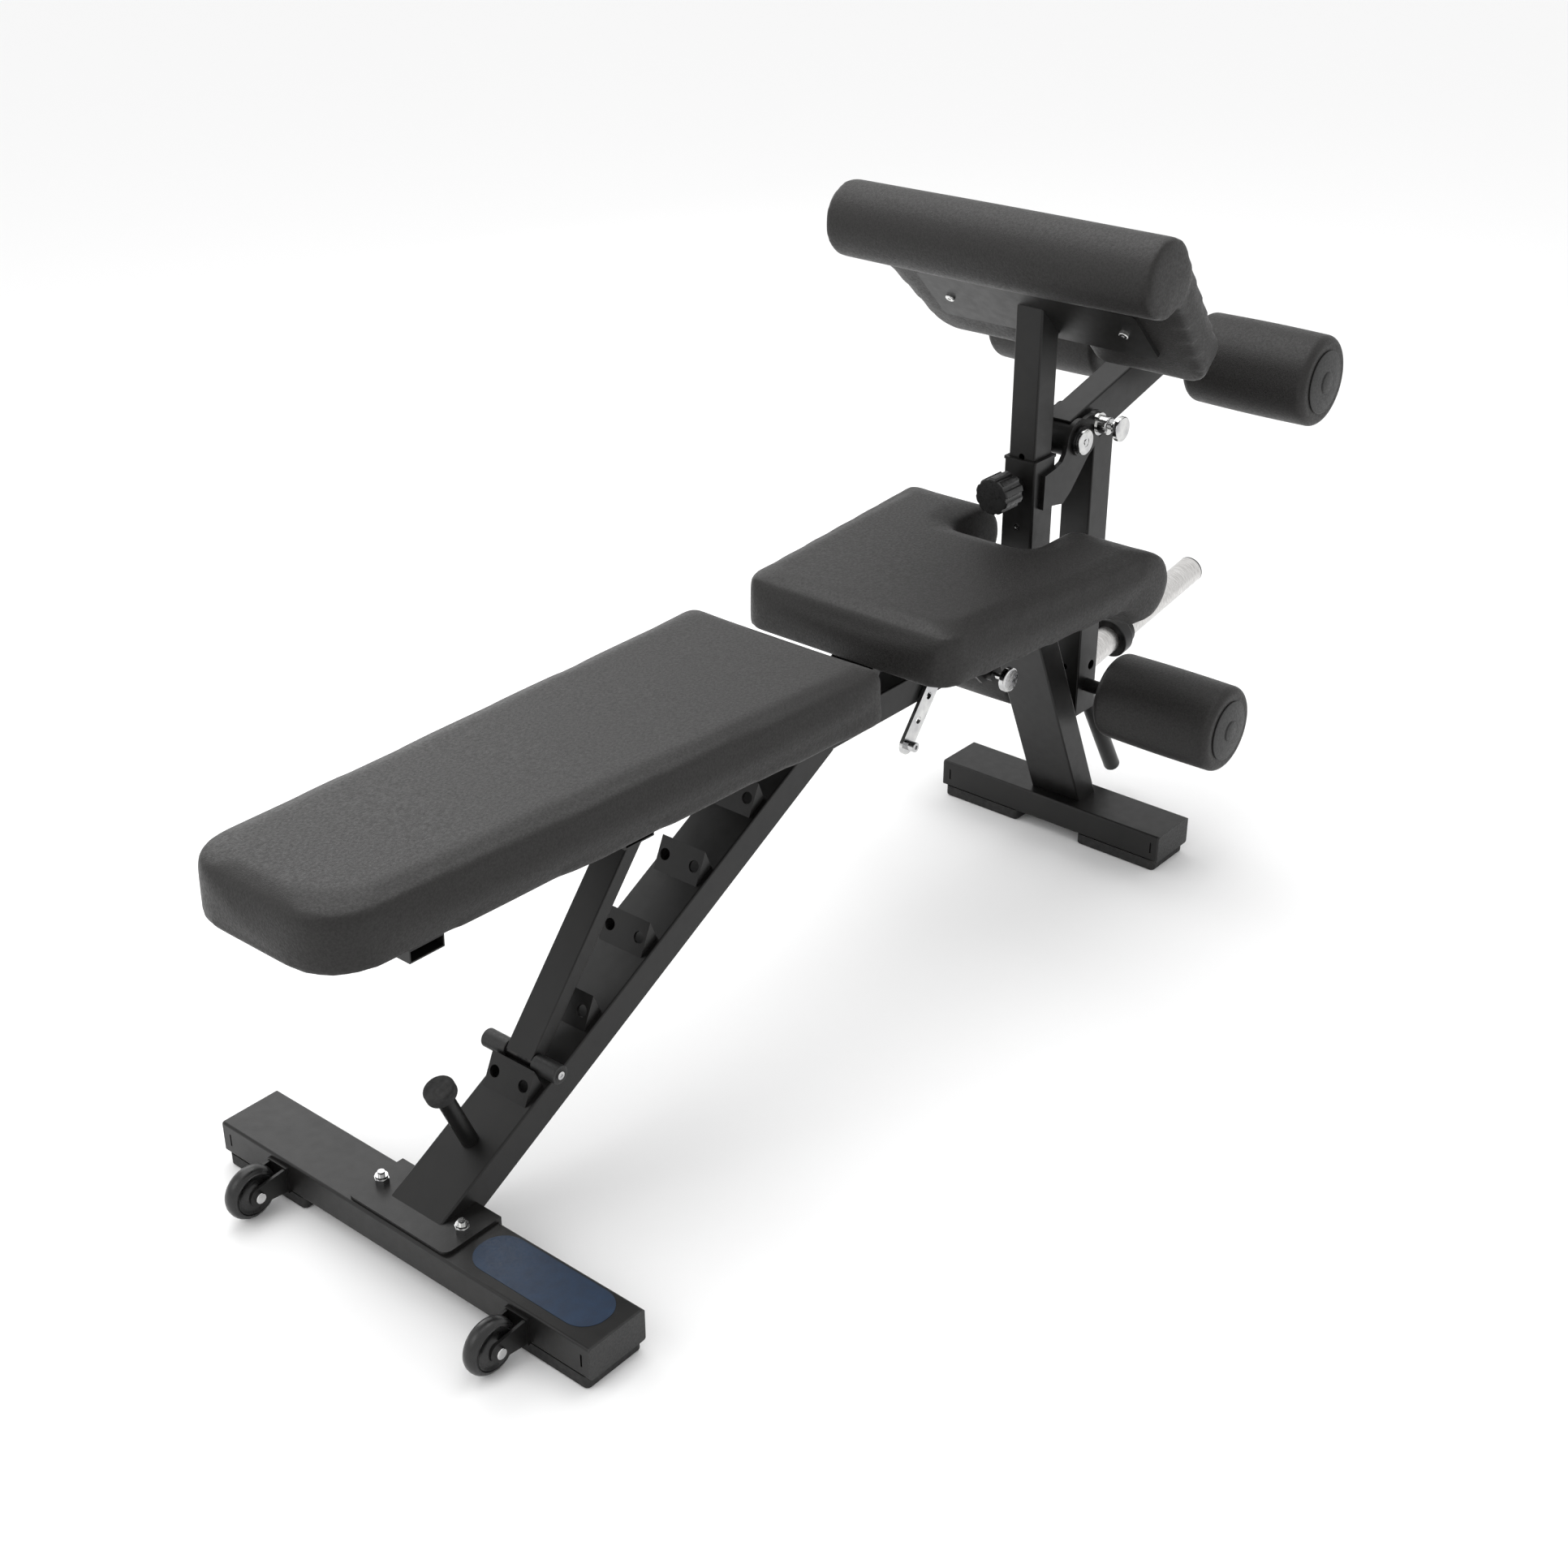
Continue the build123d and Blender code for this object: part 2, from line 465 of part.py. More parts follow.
# ---- receiver for the curl pad's post, with its rim and knob boss, liner and knob ----
with BuildPart() as receiver_tube:
    with BuildSketch(Plane(origin=at(POST_X, 0, SEAT_BEAM_TOP), z_dir=(0, 0, 1))):
        RectangleRounded(RECEIVER_W, RECEIVER_W, 4)
        RectangleRounded(RECEIVER_W - 2 * WALL, RECEIVER_W - 2 * WALL, 1.5, mode=Mode.SUBTRACT)
    extrude(amount=RECEIVER_TOP - SEAT_BEAM_TOP)
    with BuildSketch(Plane(origin=at(POST_X, 0, RECEIVER_TOP), z_dir=(0, 0, 1))):
        RectangleRounded(RECEIVER_W + 3, RECEIVER_W + 3, 4)
        RectangleRounded(POST_W + 1.4, POST_W + 1.4, 1.5, mode=Mode.SUBTRACT)
    extrude(amount=4)
    spindle(along((POST_X - RECEIVER_W / 2 - 22, KNOB_Z), 0), 11, 23)
    spindle(along((POST_X - RECEIVER_W / 2 - 24, KNOB_Z), 0), 6 + RUNNING, 30, mode=Mode.SUBTRACT)
    spindle(along((POST_X - 40, 640), 0), 3, 20, mode=Mode.SUBTRACT)
save(receiver_tube, "receiver_tube")

with BuildPart() as receiver_liner:
    with BuildSketch(Plane(origin=at(POST_X, 0, 596), z_dir=(0, 0, 1))):
        RectangleRounded(RECEIVER_W - 2 * WALL, RECEIVER_W - 2 * WALL, 1.5)
        RectangleRounded(POST_W + 0.8, POST_W + 0.8, 1, mode=Mode.SUBTRACT)
    extrude(amount=RECEIVER_TOP - 596)
    spindle(along((POST_X - 40, KNOB_Z), 0), 7, 20, mode=Mode.SUBTRACT)
save(receiver_liner, "receiver_liner")

with BuildPart() as collar_knob:
    front_face = along((1230, KNOB_Z), 0)
    spindle(front_face, 31, 46)
    fillet(rims(collar_knob, 31).sort_by(Axis.X)[0], 3)
    with BuildSketch(front_face) as flutes:
        with PolarLocations(34.5, 10):
            Circle(6.5)
    extrude(flutes.sketch, amount=46, mode=Mode.SUBTRACT)
    spindle(front_face.offset(20), 6, 62.3)
save(collar_knob, "collar_knob")

# ---- curl pad on its post ----
PANEL_SUM = BOARD[0] + BOARD[1] - PANEL_T * math.sqrt(2)
board_plane = Plane(origin=at(BOARD[0], 0, BOARD[1]), x_dir=(1, 0, -1), z_dir=(1, 0, 1))

with BuildPart() as post_tube:
    with BuildSketch(Plane(origin=at(POST_X, 0, 600), z_dir=(0, 0, 1))):
        RectangleRounded(POST_W, POST_W, 3)
        RectangleRounded(POST_W - 5, POST_W - 5, 1.5, mode=Mode.SUBTRACT)
    extrude(amount=500)
    split(bisect_by=Plane(origin=at(PANEL_SUM - 1000, 0, 1000), z_dir=(1, 0, 1)), keep=Keep.BOTTOM)
    for k in (-1, 0, 1):
        spindle(along((POST_X - 40, KNOB_Z + k * POST_PITCH), 0), 5.5, 30, mode=Mode.SUBTRACT)
save(post_tube, "post_tube")

with BuildPart() as board_panel:
    with BuildSketch(board_plane):
        with Locations((127, 0)):
            RectangleRounded(124, 408, 10)
    extrude(amount=-PANEL_T)
save(board_panel, "board_panel")

with BuildPart() as board_bolts:
    for y in (163.8, -163.8):
        seat_at = board_plane.from_local_coords(Vector(127, y, -PANEL_T))
        head = Plane(origin=seat_at, x_dir=(1, 0, -1), z_dir=(-1, 0, -1))
        spindle(head, 8, 4.5)
        spindle(head.offset(2.5), 3, 3, mode=Mode.SUBTRACT)
    fillet(rims(board_bolts, 8).group_by(Axis.X)[0], 2)
save(board_bolts, "board_bolts")

with BuildPart() as curl_pad:
    with BuildSketch(board_plane) as board:
        Polygon((-25, 299), (272, 258), (272, -258), (-25, -299), align=None)
        fillet(board.vertices().group_by(Axis.X)[-1], 45)
        with Locations((272 + 100 - 107, 0)):
            RectangleRounded(200, 100, 42, mode=Mode.SUBTRACT)
        fillet(board.vertices().group_by(Axis.X)[-1].filter_by(lambda v: abs(v.Y) < 60), 24)
    extrude(amount=BOARD_T)
    rod(ROLL, ROLL_R, ROLL_HALF, -ROLL_HALF)
save(curl_pad, "curl_pad")

# ---- swan-neck plates, pivot and pop-pin ----
with BuildPart() as neck_plates:
    outline = [(1328, 730), (1327, 672), (1355, 672), (1385, 667), (1407, 682), (1456, 732), (1480, 748),
               (1494, 772), (1478, 803), (1450, 800), (1400, 790), (1389, 765), (1385, 752), (1376, 741),
               (1358, 735)]
    both_sides(slab, outline, near=30, far=38)
    both_sides(rod, PIVOT, 36, near=30, far=38)
    both_sides(rod, PIVOT_PIN, 22, near=30, far=38)
    both_sides(rod, PIVOT, AXLE_R, near=29, far=39, mode=Mode.SUBTRACT)
    rod(PIVOT_PIN, 6.5, -29, -39, mode=Mode.SUBTRACT)
save(neck_plates, "neck_plates")

with BuildPart() as pivot_shaft:
    rod(PIVOT, AXLE_R, 43, -43)
    both_sides(rod, PIVOT, 25, near=38, far=43)
save(pivot_shaft, "pivot_shaft")

with BuildPart() as pivot_caps:
    both_sides(rod, PIVOT, 21.5, near=43, far=51)
    fillet(rims(pivot_caps, 21.5), 1.5)
    both_sides(rod, PIVOT, 8, near=50.4, far=52, mode=Mode.SUBTRACT)
    both_sides(rod, PIVOT, 5, near=50, far=51.5)
save(pivot_caps, "pivot_caps")

with BuildPart() as pivot_pin_body:
    rod(PIVOT_PIN, 19, -38, -45)
    rod(PIVOT_PIN, 15, -45, -64)
    fillet(rims(pivot_pin_body, 15).sort_by(Axis.Y)[0], 3)
    rod(PIVOT_PIN, 6 + RUNNING, -37, -66, mode=Mode.SUBTRACT)
save(pivot_pin_body, "pivot_pin_body")

with BuildPart() as pivot_pin_knob:
    rod(PIVOT_PIN, 6, -26, -84)
    rod(PIVOT_PIN, 11, -72, -82)
    rod(PIVOT_PIN, 21, -80, -89)
    fillet(rims(pivot_pin_knob, 21), 2)
save(pivot_pin_knob, "pivot_pin_knob")

# ---- leg arm: barrel, upper arm, hanging arm, weight post and handle ----
ARM_ANGLE = math.degrees(math.atan2(UPPER_AXLE[1] - PIVOT[1], UPPER_AXLE[0] - PIVOT[0]))
ARM_REACH = math.dist(PIVOT, UPPER_AXLE)
ARM_END, ARM_W, ARM_D = ARM_REACH + 34, 50.0, 70.0

with BuildPart() as pivot_barrel:
    rod(PIVOT, 30, 29.4, -29.4)
    rod(PIVOT, AXLE_R + RUNNING, 31, -31, mode=Mode.SUBTRACT)
save(pivot_barrel, "pivot_barrel")

with BuildPart() as upper_arm:
    slab([toward(PIVOT, ARM_ANGLE, d, h) for d, h in
          ((-2, ARM_D / 2), (ARM_END, ARM_D / 2), (ARM_END, -ARM_D / 2), (-2, -ARM_D / 2))],
         ARM_W / 2, -ARM_W / 2)
    fillet(upper_arm.edges().group_by(SortBy.LENGTH)[-1], 3)
    slab([toward(PIVOT, ARM_ANGLE, d, h) for d, h in
          ((-5, ARM_D / 2 - WALL), (ARM_END + 5, ARM_D / 2 - WALL), (ARM_END + 5, WALL - ARM_D / 2),
           (-5, WALL - ARM_D / 2))], ARM_W / 2 - WALL, WALL - ARM_W / 2, mode=Mode.SUBTRACT)
    rod(PIVOT, 30, 30, -30, mode=Mode.SUBTRACT)
    rod(UPPER_AXLE, AXLE_R, 30, -30, mode=Mode.SUBTRACT)
    reach = math.dist(PIVOT, PIVOT_PIN)
    pin_angle = math.degrees(math.atan2(PIVOT_PIN[1] - PIVOT[1], PIVOT_PIN[0] - PIVOT[0]))
    for step in (0, 25):
        rod(toward(PIVOT, pin_angle - step, reach), 6.5, -20, -30, mode=Mode.SUBTRACT)
save(upper_arm, "upper_arm")


def arm_under(x):
    """Height of the upper arm's lower face at a given length."""
    a = math.radians(ARM_ANGLE)
    return PIVOT[1] + (x - PIVOT[0]) * math.tan(a) - ARM_D / 2 / math.cos(a)


with BuildPart() as swing_arm:
    near_x, far_x = HANG_X - HANG_D / 2, HANG_X + HANG_D / 2
    slab([(near_x, HANG_FOOT), (far_x, HANG_FOOT), (far_x, arm_under(far_x)), (near_x, arm_under(near_x))],
         HANG_W / 2, -HANG_W / 2)
    fillet(swing_arm.edges().filter_by(Axis.Z), 3)
    with Locations(at(HANG_X, 0, 500)):
        Box(HANG_D - 2 * WALL, HANG_W - 2 * WALL, 700, mode=Mode.SUBTRACT)
    rod(LOWER_AXLE, AXLE_R, 40, -40, mode=Mode.SUBTRACT)
    spindle(along((near_x - 5, 323), 0), 5.5, 20, mode=Mode.SUBTRACT)
    rod((1527, 321), 9, -20, -40, mode=Mode.SUBTRACT)
save(swing_arm, "swing_arm")

with BuildPart() as arm_end_caps:
    tube_cap(along(PIVOT, ARM_ANGLE, ARM_END), ARM_W, ARM_D)
    tube_cap(Plane(origin=at(HANG_X, 0, HANG_FOOT), x_dir=(1, 0, 0), z_dir=(0, 0, -1)), HANG_D, HANG_W)
save(arm_end_caps, "arm_end_caps")

with BuildPart() as weight_post:
    spindle(along(WEIGHT_BASE, WEIGHT_ANGLE, -20), WEIGHT_R - 0.5, COLLAR_FACE + 20)
    split(bisect_by=Plane(origin=at(WEIGHT_BASE[0], 0, 0), z_dir=(1, 0, 0)), keep=Keep.TOP)
    spindle(along(WEIGHT_BASE, WEIGHT_ANGLE, COLLAR_FACE), WEIGHT_R, WEIGHT_LEN - 4 - COLLAR_FACE)
save(weight_post, "weight_post")

with BuildPart() as weight_collar:
    spindle(along(WEIGHT_BASE, WEIGHT_ANGLE, 82), 38, 26)
    fillet(weight_collar.edges(), 3)
    spindle(along(WEIGHT_BASE, WEIGHT_ANGLE, 107), 31, COLLAR_FACE - 107)
    spindle(along(WEIGHT_BASE, WEIGHT_ANGLE, 70), WEIGHT_R - 0.5, 70, mode=Mode.SUBTRACT)
save(weight_collar, "weight_collar")

with BuildPart() as arm_handle:
    spindle(along(HANDLE_BASE, HANDLE_ANGLE, -40), HANDLE_R, HANDLE_LEN + 40)
    split(bisect_by=Plane(origin=at(HANDLE_BASE[0], 0, 0), z_dir=(1, 0, 0)), keep=Keep.TOP)
    spindle(along(WEIGHT_BASE, WEIGHT_ANGLE, -20), WEIGHT_R + 0.5, 200, mode=Mode.SUBTRACT)
save(arm_handle, "arm_handle")

with BuildPart() as arm_plugs:
    spindle(along(WEIGHT_BASE, WEIGHT_ANGLE, WEIGHT_LEN - 4), WEIGHT_R, 4)
    fillet(rims(arm_plugs, WEIGHT_R).sort_by(Axis.X)[-1], 1.5)
    spindle(along(HANDLE_BASE, HANDLE_ANGLE, HANDLE_LEN), HANDLE_R, 7)
    fillet(rims(arm_plugs, HANDLE_R).sort_by(Axis.Z)[0], 5)
save(arm_plugs, "arm_plugs")

# ---- roller axles with their end caps, and the foam rollers ----
with BuildPart() as roller_axles:
    for axle in (UPPER_AXLE, LOWER_AXLE):
        rod(axle, AXLE_R, CAP_FACE, -CAP_FACE)
        both_sides(rod, axle, 19, near=79, far=84)
save(roller_axles, "roller_axles")

with BuildPart() as roller_caps:
    for axle in (UPPER_AXLE, LOWER_AXLE):
        for sign in (1, -1):
            face = Plane(origin=at(axle[0], sign * CAP_FACE, axle[1]), x_dir=(1, 0, 0), z_dir=(0, sign, 0))
            spindle(face, 51, 2)
            spindle(face.offset(2), 47, 4)
            spindle(face.offset(5), 17, 1.8)
    fillet(rims(roller_caps, 47).filter_by(lambda e: abs(abs(e.center().Y) - CAP_FACE - 6) < 0.1), 3)
save(roller_caps, "roller_caps")

for level, axle in (("upper", UPPER_AXLE), ("lower", LOWER_AXLE)):
    for place, y_high, y_low in (("far", ROLLER_OUT, ROLLER_IN), ("near", -ROLLER_IN, -ROLLER_OUT)):
        with BuildPart() as roller:
            rod(axle, ROLLER_R, y_high, y_low)
            fillet(roller.edges(), 16)
            rod(axle, AXLE_R + RUNNING, y_high + 1, y_low - 1, mode=Mode.SUBTRACT)
        save(roller, f"roller_{level}_{place}")
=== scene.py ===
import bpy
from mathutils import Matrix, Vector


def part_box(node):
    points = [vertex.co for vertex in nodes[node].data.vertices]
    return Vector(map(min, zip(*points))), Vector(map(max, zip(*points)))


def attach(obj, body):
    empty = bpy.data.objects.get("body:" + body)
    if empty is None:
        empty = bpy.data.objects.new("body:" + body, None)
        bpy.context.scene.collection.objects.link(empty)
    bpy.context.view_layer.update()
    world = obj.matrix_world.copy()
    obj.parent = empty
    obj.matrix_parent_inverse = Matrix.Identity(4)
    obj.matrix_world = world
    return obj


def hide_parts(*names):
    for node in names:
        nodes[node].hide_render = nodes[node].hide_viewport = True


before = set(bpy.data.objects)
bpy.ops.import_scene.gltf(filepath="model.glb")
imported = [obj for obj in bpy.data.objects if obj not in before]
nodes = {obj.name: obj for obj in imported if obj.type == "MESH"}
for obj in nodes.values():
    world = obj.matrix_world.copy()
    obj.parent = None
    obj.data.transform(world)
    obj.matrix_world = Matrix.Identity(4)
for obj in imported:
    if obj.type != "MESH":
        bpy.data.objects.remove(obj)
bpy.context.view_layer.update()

import math
import bmesh
import bpy
from mathutils import Vector

scene = bpy.context.scene

# ---- camera, floor and studio light ----
# A 50 mm lens stands behind the head end, to the near side and above the bench. The floor is a plain
# pale sheet and the light is a white room with large soft lamps overhead.
camera = bpy.data.objects.new("camera", bpy.data.cameras.new("camera"))
scene.collection.objects.link(camera)
camera.data.lens, camera.data.sensor_width = 50.0, 36.0
camera.data.clip_end = 50
camera.location = (-2.3402, -1.8532, 1.9525)
camera.rotation_euler = (math.radians(90 - 28.109), 0, math.radians(39.785 - 90))
scene.camera = camera

floor_mesh = bpy.data.meshes.new("floor")
floor_mesh.from_pydata([(-40, -40, 0), (40, -40, 0), (40, 40, 0), (-40, 40, 0)], [], [(0, 1, 2, 3)])
floor = bpy.data.objects.new("floor", floor_mesh)
scene.collection.objects.link(floor)

world = bpy.data.worlds.new("studio")
world.use_nodes = True
world.node_tree.nodes["Background"].inputs["Color"].default_value = (1, 1, 1, 1)
world.node_tree.nodes["Background"].inputs["Strength"].default_value = 1.0
scene.world = world
scene.view_settings.view_transform = "Standard"
for name, place, aim, size, watts in (
        ("overhead", (0.2, 0.6, 3.4), (0, 0, 0.4), 3.2, 60),
        ("head_side", (-3.2, 0.8, 2.4), (0, 0, 0.5), 2.0, 18),
        ("far_side", (1.0, 3.4, 2.2), (0.3, 0, 0.6), 2.4, 30)):
    lamp = bpy.data.objects.new(name, bpy.data.lights.new(name, "AREA"))
    lamp.data.size, lamp.data.energy = size, watts
    lamp.location = place
    lamp.rotation_euler = (Vector(aim) - Vector(place)).to_track_quat("-Z", "Y").to_euler()
    scene.collection.objects.link(lamp)


def finish_of(name, colour, rough, metal=0.0):
    """A new material, its node tree, its surface shader and its point coordinates in metres.

    The flat colour and roughness show only where no pattern drives them.
    """
    material = bpy.data.materials.new(name)
    material.use_nodes = True
    tree = material.node_tree
    shader = tree.nodes["Principled BSDF"]
    shader.inputs["Base Color"].default_value = (*colour, 1)
    shader.inputs["Roughness"].default_value = rough
    shader.inputs["Metallic"].default_value = metal
    return material, tree, shader, tree.nodes.new("ShaderNodeTexCoord").outputs["Object"]


def noise(tree, points, scale, detail=3.0, stretch=None):
    """A noise pattern over the points, with a scale per metre, stretched along an axis if asked."""
    if stretch:
        mapping = tree.nodes.new("ShaderNodeMapping")
        mapping.inputs["Scale"].default_value = stretch
        tree.links.new(points, mapping.inputs["Vector"])
        points = mapping.outputs["Vector"]
    pattern = tree.nodes.new("ShaderNodeTexNoise")
    pattern.inputs["Scale"].default_value = scale
    pattern.inputs["Detail"].default_value = detail
    tree.links.new(points, pattern.inputs["Vector"])
    return pattern.outputs["Fac"]


def spread(tree, value, low, high, socket, start=0.3, end=0.7):
    """Drives a socket between two numbers with a pattern."""
    ranged = tree.nodes.new("ShaderNodeMapRange")
    ranged.inputs["From Min"].default_value, ranged.inputs["From Max"].default_value = start, end
    ranged.inputs["To Min"].default_value, ranged.inputs["To Max"].default_value = low, high
    tree.links.new(value, ranged.inputs["Value"])
    tree.links.new(ranged.outputs["Result"], socket)


def tint(tree, value, dark, light, socket, start=0.35, end=0.65):
    """Colours a socket between two shades with a pattern."""
    ramp = tree.nodes.new("ShaderNodeValToRGB")
    ramp.color_ramp.elements[0].position, ramp.color_ramp.elements[0].color = start, (*dark, 1)
    ramp.color_ramp.elements[1].position, ramp.color_ramp.elements[1].color = end, (*light, 1)
    tree.links.new(value, ramp.inputs["Fac"])
    tree.links.new(ramp.outputs["Color"], socket)


def relief(tree, shader, layers):
    """Bump on the shader from (pattern, height in metres, strength) layers, coarse to fine."""
    below = None
    for pattern, height, strength in layers:
        bump = tree.nodes.new("ShaderNodeBump")
        bump.inputs["Distance"].default_value = height
        bump.inputs["Strength"].default_value = strength
        tree.links.new(pattern, bump.inputs["Height"])
        if below:
            tree.links.new(below, bump.inputs["Normal"])
        below = bump.outputs["Normal"]
    tree.links.new(below, shader.inputs["Normal"])


def dress(material, *names):
    """Puts a material on CAD nodes, all their faces alike."""
    for name in names:
        piece = nodes[name]
        piece.data.materials.clear()
        piece.data.materials.append(material)


paper, tree, shader, points = finish_of("pale_floor", (0.93, 0.93, 0.93), 0.9)
spread(tree, noise(tree, points, 3), 0.86, 0.94, shader.inputs["Roughness"])
floor_mesh.materials.append(paper)

# ---- welded steel tubes and plates ----
# The frame, the rails under the pads and the leg arm are rectangular steel tube and plate, welded and
# then sprayed with a satin black powder coat, whose surface has a very fine orange peel.
powder, tree, shader, points = finish_of("black_powder_coat", (0.006, 0.0058, 0.0056), 0.38)
tint(tree, noise(tree, points, 14, 5), (0.0046, 0.0045, 0.0044), (0.0072, 0.0068, 0.0064),
     shader.inputs["Base Color"])
spread(tree, noise(tree, points, 60, 4), 0.34, 0.42, shader.inputs["Roughness"])
relief(tree, shader, [(noise(tree, points, 420, 2), 0.00025, 0.20),
                      (noise(tree, points, 1500, 2), 0.0001, 0.22)])
shader.inputs["Specular IOR Level"].default_value = 0.34
dress(powder, "front_crossbar", "saddle_plate", "wheel_brackets", "main_beam",
      "catch_blocks", "bumper_post", "seat_beam", "rear_leg", "rear_crossbar", "hinge_lugs",
      "backrest_rails", "backrest_cross_bars", "strut_tube", "seat_frame", "seat_cross_plates",
      "seat_pin_bracket", "receiver_tube", "post_tube", "board_panel", "neck_plates", "pivot_barrel",
      "upper_arm", "swing_arm", "arm_handle", "weight_collar", "roller_axles")

# ---- hinge pins and pivot shafts ----
# The hinge bolts, the strut's pins and the leg arm's shaft are turned steel with a dark oiled finish,
# smooth and a little brighter where they have been handled.
dark, tree, shader, points = finish_of("dark_oiled_steel", (0.03, 0.03, 0.032), 0.34, 0.85)
tint(tree, noise(tree, points, 90, 4), (0.018, 0.018, 0.019), (0.045, 0.044, 0.043),
     shader.inputs["Base Color"])
spread(tree, noise(tree, points, 200, 3, (1, 0.1, 1)), 0.26, 0.42, shader.inputs["Roughness"])
relief(tree, shader, [(noise(tree, points, 700, 3, (1, 0.15, 1)), 0.0001, 0.25)])
dress(dark, "hinge_bolts", "strut_bolt", "strut_pin", "pivot_shaft")

# ---- bright plated hardware ----
# Bolt heads, axles, the seat's flat stay bar, the pivot's caps and the pull-pin bodies are polished
# steel under bright chrome, with faint wiping scratches.
chrome, tree, shader, points = finish_of("bright_chrome", (0.62, 0.62, 0.62), 0.14, 1.0)
spread(tree, noise(tree, points, 260, 5, (1, 4, 1)), 0.06, 0.20, shader.inputs["Roughness"])
tint(tree, noise(tree, points, 40, 3), (0.44, 0.44, 0.45), (0.66, 0.66, 0.65),
     shader.inputs["Base Color"])
relief(tree, shader, [(noise(tree, points, 500, 4, (1, 6, 1)), 0.00004, 0.2)])
dress(chrome, "frame_bolts", "wheel_axles", "strut_end_bolts", "seat_stay", "board_bolts",
      "pivot_caps", "pivot_pin_body", "pivot_pin_knob", "seat_pin_knob")

# ---- weight post ----
# The post that plates slide onto is a thick steel tube, turned and plated to a satin chrome, with the
# fine rings that the lathe and the plates leave round it.
satin, tree, shader, points = finish_of("satin_chrome", (0.62, 0.61, 0.60), 0.32, 1.0)
spread(tree, noise(tree, points, 420, 3, (5, 0.25, 0.8)), 0.24, 0.44, shader.inputs["Roughness"])
tint(tree, noise(tree, points, 160, 4, (4, 0.3, 0.6)), (0.50, 0.49, 0.48), (0.70, 0.69, 0.68),
     shader.inputs["Base Color"])
relief(tree, shader, [(noise(tree, points, 900, 2, (6, 0.2, 0.8)), 0.00006, 0.3)])
dress(satin, "weight_post")

# ---- moulded plastic caps, sleeves and plugs ----
# Tube caps, the post's liner, the strut's two sleeves and the arm's end plugs are injection moulded in
# black plastic with a fine spark-eroded grain.
plastic, tree, shader, points = finish_of("black_moulded_plastic", (0.012, 0.012, 0.012), 0.5)
tint(tree, noise(tree, points, 30, 3), (0.005, 0.005, 0.005), (0.0085, 0.0085, 0.0082),
     shader.inputs["Base Color"])
spread(tree, noise(tree, points, 300, 3), 0.42, 0.60, shader.inputs["Roughness"])
relief(tree, shader, [(noise(tree, points, 1100, 2), 0.00012, 0.3)])
dress(plastic, "end_caps", "strut_sleeves", "receiver_liner", "arm_end_caps", "arm_plugs")

# ---- rubber feet and bumpers ----
# Four wide feet under the bars and the bumpers under the backrest and the seat are moulded rubber,
# matt black, with a little dust in their grain.
rubber, tree, shader, points = finish_of("black_rubber", (0.014, 0.014, 0.014), 0.72)
tint(tree, noise(tree, points, 45, 5), (0.006, 0.006, 0.006), (0.012, 0.0115, 0.011),
     shader.inputs["Base Color"])
spread(tree, noise(tree, points, 120, 4), 0.62, 0.86, shader.inputs["Roughness"])
relief(tree, shader, [(noise(tree, points, 520, 3), 0.0002, 0.35)])
dress(rubber, "feet", "bumpers")

# ---- printed film on the front bar ----
# A long rounded label of navy vinyl film, stuck to the bar's top face beside the saddle plate. It is
# left plain, with the film's slight unevenness.
film, tree, shader, points = finish_of("navy_film", (0.006, 0.034, 0.075), 0.38)
tint(tree, noise(tree, points, 60, 4), (0.0014, 0.014, 0.040), (0.0022, 0.019, 0.052),
     shader.inputs["Base Color"])
spread(tree, noise(tree, points, 240, 3), 0.32, 0.48, shader.inputs["Roughness"])
relief(tree, shader, [(noise(tree, points, 380, 3), 0.0001, 0.15)])
dress(film, "front_decal")

# ---- transport wheels ----
# Two small castor wheels in forks on the front bar, each moulded in one piece of glossy black plastic,
# with a crowned tread, a dished side and a raised hub round the axle.
gloss, tree, shader, points = finish_of("black_gloss_plastic", (0.010, 0.010, 0.010), 0.30)
tint(tree, noise(tree, points, 50, 3), (0.004, 0.004, 0.004), (0.007, 0.007, 0.007),
     shader.inputs["Base Color"])
spread(tree, noise(tree, points, 180, 4), 0.24, 0.40, shader.inputs["Roughness"])
relief(tree, shader, [(noise(tree, points, 800, 2), 0.0001, 0.18)])


def turned(name, centre, profile, material, body, sides=96):
    """A piece turned about a line along Y: profile is (radius, offset along Y) pairs from end to end."""
    mesh = bpy.data.meshes.new(name)
    shape = bmesh.new()
    rings = []
    for radius, offset in profile:
        if radius < 1e-6:
            rings.append([shape.verts.new((centre[0], centre[1] + offset, centre[2]))])
            continue
        rings.append([shape.verts.new((centre[0] + radius * math.cos(math.tau * k / sides),
                                       centre[1] + offset,
                                       centre[2] + radius * math.sin(math.tau * k / sides)))
                      for k in range(sides)])
    for near, far in zip(rings, rings[1:]):
        for k in range(sides):
            m = (k + 1) % sides
            if len(near) == 1:
                shape.faces.new((near[0], far[m], far[k]))
            elif len(far) == 1:
                shape.faces.new((near[k], near[m], far[0]))
            else:
                shape.faces.new((near[k], near[m], far[m], far[k]))
    bmesh.ops.remove_doubles(shape, verts=shape.verts, dist=1e-6)
    bmesh.ops.recalc_face_normals(shape, faces=shape.faces)
    for face in shape.faces:
        face.smooth = True
    shape.to_mesh(mesh)
    shape.free()
    piece = bpy.data.objects.new(name, mesh)
    scene.collection.objects.link(piece)
    mesh.materials.append(material)
    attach(piece, body)
    return piece


def middle_of(name):
    """The middle of a CAD node's box."""
    low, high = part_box(name)
    return [(a + b) / 2 for a, b in zip(low, high)]


